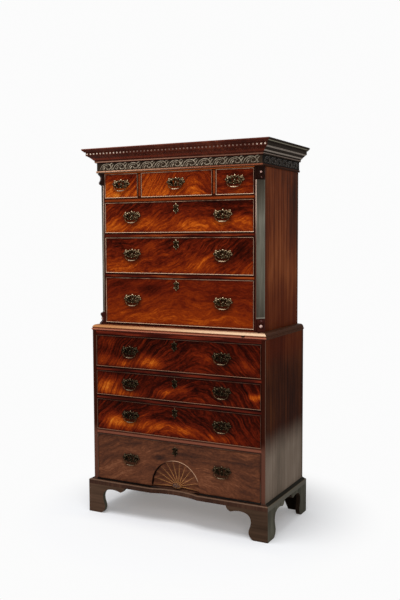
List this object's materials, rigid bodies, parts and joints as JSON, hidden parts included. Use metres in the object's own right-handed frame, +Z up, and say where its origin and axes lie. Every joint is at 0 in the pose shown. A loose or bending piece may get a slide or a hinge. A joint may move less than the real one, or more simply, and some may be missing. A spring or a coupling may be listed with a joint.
{
  "type": "chest on chest",
  "caption": "Tall chest of drawers in two stacked cases with canted upper corners, deep cornice, carved frieze, brass bail handles, a carved fan and bracket feet.",
  "frame": {"origin": "on the floor under the middle of the chest", "axes": "+Z up, +X to the right as one faces the drawers, +Y from the front of the chest to its back"},
  "size_m": [1.042, 0.537, 1.9],
  "materials": {
    "carcase_mahogany": "waxed dark mahogany, straight grain",
    "drawer_mahogany": "polished flame-figured mahogany on the fronts, plain oak behind",
    "moulding_mahogany": "waxed mahogany mouldings with wear on the edges",
    "foot_mahogany": "dull, worn mahogany",
    "inside_oak": "unpolished oak and pine",
    "aged_brass": "dark, aged brass with bright worn edges",
    "lock_iron": "dark filed iron"
  },
  "bodies": {
    "lower_case": {"lower_case_sides": "carcase_mahogany", "lower_case_boards": "carcase_mahogany", "lower_back_boards": "inside_oak", "lower_drawer_rails": "carcase_mahogany", "lower_drawer_runners": "inside_oak", "waist_moulding": "moulding_mahogany", "base_moulding": "moulding_mahogany", "bracket_feet": "foot_mahogany"},
    "upper_case": {"upper_case_sides": "carcase_mahogany", "upper_case_boards": "inside_oak", "upper_back_boards": "inside_oak", "upper_drawer_rails": "carcase_mahogany", "upper_drawer_runners": "inside_oak", "canted_corners": "moulding_mahogany", "frieze": "moulding_mahogany", "cornice": "moulding_mahogany"},
    "top_left_drawer": {"top_left_drawer": "drawer_mahogany", "top_left_drawer_brass": "aged_brass"},
    "top_left_drawer_bail": {"top_left_drawer_bail": "aged_brass"},
    "top_centre_drawer": {"top_centre_drawer": "drawer_mahogany", "top_centre_drawer_brass": "aged_brass"},
    "top_centre_drawer_bail": {"top_centre_drawer_bail": "aged_brass"},
    "top_right_drawer": {"top_right_drawer": "drawer_mahogany", "top_right_drawer_brass": "aged_brass"},
    "top_right_drawer_bail": {"top_right_drawer_bail": "aged_brass"},
    "upper_drawer_1": {"upper_drawer_1": "drawer_mahogany", "upper_drawer_1_brass": "aged_brass"},
    "upper_drawer_1_left_bail": {"upper_drawer_1_left_bail": "aged_brass"},
    "upper_drawer_1_right_bail": {"upper_drawer_1_right_bail": "aged_brass"},
    "upper_drawer_1_bolt": {"upper_drawer_1_bolt": "lock_iron"},
    "upper_drawer_2": {"upper_drawer_2": "drawer_mahogany", "upper_drawer_2_brass": "aged_brass"},
    "upper_drawer_2_left_bail": {"upper_drawer_2_left_bail": "aged_brass"},
    "upper_drawer_2_right_bail": {"upper_drawer_2_right_bail": "aged_brass"},
    "upper_drawer_2_bolt": {"upper_drawer_2_bolt": "lock_iron"},
    "upper_drawer_3": {"upper_drawer_3": "drawer_mahogany", "upper_drawer_3_brass": "aged_brass"},
    "upper_drawer_3_left_bail": {"upper_drawer_3_left_bail": "aged_brass"},
    "upper_drawer_3_right_bail": {"upper_drawer_3_right_bail": "aged_brass"},
    "upper_drawer_3_bolt": {"upper_drawer_3_bolt": "lock_iron"},
    "lower_drawer_1": {"lower_drawer_1": "drawer_mahogany", "lower_drawer_1_brass": "aged_brass"},
    "lower_drawer_1_left_bail": {"lower_drawer_1_left_bail": "aged_brass"},
    "lower_drawer_1_right_bail": {"lower_drawer_1_right_bail": "aged_brass"},
    "lower_drawer_1_bolt": {"lower_drawer_1_bolt": "lock_iron"},
    "lower_drawer_2": {"lower_drawer_2": "drawer_mahogany", "lower_drawer_2_brass": "aged_brass"},
    "lower_drawer_2_left_bail": {"lower_drawer_2_left_bail": "aged_brass"},
    "lower_drawer_2_right_bail": {"lower_drawer_2_right_bail": "aged_brass"},
    "lower_drawer_2_bolt": {"lower_drawer_2_bolt": "lock_iron"},
    "lower_drawer_3": {"lower_drawer_3": "drawer_mahogany", "lower_drawer_3_brass": "aged_brass"},
    "lower_drawer_3_left_bail": {"lower_drawer_3_left_bail": "aged_brass"},
    "lower_drawer_3_right_bail": {"lower_drawer_3_right_bail": "aged_brass"},
    "lower_drawer_3_bolt": {"lower_drawer_3_bolt": "lock_iron"},
    "lower_drawer_4": {"lower_drawer_4": "drawer_mahogany", "lower_drawer_4_brass": "aged_brass"},
    "lower_drawer_4_left_bail": {"lower_drawer_4_left_bail": "aged_brass"},
    "lower_drawer_4_right_bail": {"lower_drawer_4_right_bail": "aged_brass"},
    "lower_drawer_4_bolt": {"lower_drawer_4_bolt": "lock_iron"}
  },
  "joints": [
    {"name": "upper_case_lift", "type": "slide", "parent": "lower_case", "child": "upper_case", "axis": [0, 0, 1], "range_m": [0, 0.04]},
    {"name": "top_left_drawer_slide", "type": "slide", "parent": "upper_case", "child": "top_left_drawer", "axis": [0, -1, 0], "range_m": [0, 0.32]},
    {"name": "top_left_drawer_bail_swing", "type": "hinge", "parent": "top_left_drawer", "child": "top_left_drawer_bail", "pos_m": [-0.32, -0.2165, 1.718], "axis": [-1, 0, 0], "range_deg": [0, 85]},
    {"name": "top_centre_drawer_slide", "type": "slide", "parent": "upper_case", "child": "top_centre_drawer", "axis": [0, -1, 0], "range_m": [0, 0.32]},
    {"name": "top_centre_drawer_bail_swing", "type": "hinge", "parent": "top_centre_drawer", "child": "top_centre_drawer_bail", "pos_m": [0, -0.2165, 1.718], "axis": [-1, 0, 0], "range_deg": [0, 85]},
    {"name": "top_right_drawer_slide", "type": "slide", "parent": "upper_case", "child": "top_right_drawer", "axis": [0, -1, 0], "range_m": [0, 0.32]},
    {"name": "top_right_drawer_bail_swing", "type": "hinge", "parent": "top_right_drawer", "child": "top_right_drawer_bail", "pos_m": [0.32, -0.2165, 1.718], "axis": [-1, 0, 0], "range_deg": [0, 85]},
    {"name": "upper_drawer_1_slide", "type": "slide", "parent": "upper_case", "child": "upper_drawer_1", "axis": [0, -1, 0], "range_m": [0, 0.32]},
    {"name": "upper_drawer_1_left_bail_swing", "type": "hinge", "parent": "upper_drawer_1", "child": "upper_drawer_1_left_bail", "pos_m": [-0.257, -0.2165, 1.556], "axis": [-1, 0, 0], "range_deg": [0, 85]},
    {"name": "upper_drawer_1_right_bail_swing", "type": "hinge", "parent": "upper_drawer_1", "child": "upper_drawer_1_right_bail", "pos_m": [0.257, -0.2165, 1.556], "axis": [-1, 0, 0], "range_deg": [0, 85]},
    {"name": "upper_drawer_1_bolt_throw", "type": "slide", "parent": "upper_drawer_1", "child": "upper_drawer_1_bolt", "axis": [0, 0, 1], "range_m": [0, 0.008]},
    {"name": "upper_drawer_2_slide", "type": "slide", "parent": "upper_case", "child": "upper_drawer_2", "axis": [0, -1, 0], "range_m": [0, 0.32]},
    {"name": "upper_drawer_2_left_bail_swing", "type": "hinge", "parent": "upper_drawer_2", "child": "upper_drawer_2_left_bail", "pos_m": [-0.257, -0.2165, 1.3645], "axis": [-1, 0, 0], "range_deg": [0, 85]},
    {"name": "upper_drawer_2_right_bail_swing", "type": "hinge", "parent": "upper_drawer_2", "child": "upper_drawer_2_right_bail", "pos_m": [0.257, -0.2165, 1.3645], "axis": [-1, 0, 0], "range_deg": [0, 85]},
    {"name": "upper_drawer_2_bolt_throw", "type": "slide", "parent": "upper_drawer_2", "child": "upper_drawer_2_bolt", "axis": [0, 0, 1], "range_m": [0, 0.008]},
    {"name": "upper_drawer_3_slide", "type": "slide", "parent": "upper_case", "child": "upper_drawer_3", "axis": [0, -1, 0], "range_m": [0, 0.32]},
    {"name": "upper_drawer_3_left_bail_swing", "type": "hinge", "parent": "upper_drawer_3", "child": "upper_drawer_3_left_bail", "pos_m": [-0.257, -0.2165, 1.1335], "axis": [-1, 0, 0], "range_deg": [0, 85]},
    {"name": "upper_drawer_3_right_bail_swing", "type": "hinge", "parent": "upper_drawer_3", "child": "upper_drawer_3_right_bail", "pos_m": [0.257, -0.2165, 1.1335], "axis": [-1, 0, 0], "range_deg": [0, 85]},
    {"name": "upper_drawer_3_bolt_throw", "type": "slide", "parent": "upper_drawer_3", "child": "upper_drawer_3_bolt", "axis": [0, 0, 1], "range_m": [0, 0.008]},
    {"name": "lower_drawer_1_slide", "type": "slide", "parent": "lower_case", "child": "lower_drawer_1", "axis": [0, -1, 0], "range_m": [0, 0.34]},
    {"name": "lower_drawer_1_left_bail_swing", "type": "hinge", "parent": "lower_drawer_1", "child": "lower_drawer_1_left_bail", "pos_m": [-0.261, -0.2415, 0.8685], "axis": [-1, 0, 0], "range_deg": [0, 85]},
    {"name": "lower_drawer_1_right_bail_swing", "type": "hinge", "parent": "lower_drawer_1", "child": "lower_drawer_1_right_bail", "pos_m": [0.261, -0.2415, 0.8685], "axis": [-1, 0, 0], "range_deg": [0, 85]},
    {"name": "lower_drawer_1_bolt_throw", "type": "slide", "parent": "lower_drawer_1", "child": "lower_drawer_1_bolt", "axis": [0, 0, 1], "range_m": [0, 0.008]},
    {"name": "lower_drawer_2_slide", "type": "slide", "parent": "lower_case", "child": "lower_drawer_2", "axis": [0, -1, 0], "range_m": [0, 0.34]},
    {"name": "lower_drawer_2_left_bail_swing", "type": "hinge", "parent": "lower_drawer_2", "child": "lower_drawer_2_left_bail", "pos_m": [-0.261, -0.2415, 0.7005], "axis": [-1, 0, 0], "range_deg": [0, 85]},
    {"name": "lower_drawer_2_right_bail_swing", "type": "hinge", "parent": "lower_drawer_2", "child": "lower_drawer_2_right_bail", "pos_m": [0.261, -0.2415, 0.7005], "axis": [-1, 0, 0], "range_deg": [0, 85]},
    {"name": "lower_drawer_2_bolt_throw", "type": "slide", "parent": "lower_drawer_2", "child": "lower_drawer_2_bolt", "axis": [0, 0, 1], "range_m": [0, 0.008]},
    {"name": "lower_drawer_3_slide", "type": "slide", "parent": "lower_case", "child": "lower_drawer_3", "axis": [0, -1, 0], "range_m": [0, 0.34]},
    {"name": "lower_drawer_3_left_bail_swing", "type": "hinge", "parent": "lower_drawer_3", "child": "lower_drawer_3_left_bail", "pos_m": [-0.261, -0.2415, 0.5335], "axis": [-1, 0, 0], "range_deg": [0, 85]},
    {"name": "lower_drawer_3_right_bail_swing", "type": "hinge", "parent": "lower_drawer_3", "child": "lower_drawer_3_right_bail", "pos_m": [0.261, -0.2415, 0.5335], "axis": [-1, 0, 0], "range_deg": [0, 85]},
    {"name": "lower_drawer_3_bolt_throw", "type": "slide", "parent": "lower_drawer_3", "child": "lower_drawer_3_bolt", "axis": [0, 0, 1], "range_m": [0, 0.008]},
    {"name": "lower_drawer_4_slide", "type": "slide", "parent": "lower_case", "child": "lower_drawer_4", "axis": [0, -1, 0], "range_m": [0, 0.34]},
    {"name": "lower_drawer_4_left_bail_swing", "type": "hinge", "parent": "lower_drawer_4", "child": "lower_drawer_4_left_bail", "pos_m": [-0.261, -0.2415, 0.309], "axis": [-1, 0, 0], "range_deg": [0, 85]},
    {"name": "lower_drawer_4_right_bail_swing", "type": "hinge", "parent": "lower_drawer_4", "child": "lower_drawer_4_right_bail", "pos_m": [0.261, -0.2415, 0.309], "axis": [-1, 0, 0], "range_deg": [0, 85]},
    {"name": "lower_drawer_4_bolt_throw", "type": "slide", "parent": "lower_drawer_4", "child": "lower_drawer_4_bolt", "axis": [0, 0, 1], "range_m": [0, 0.008]}
  ]
}
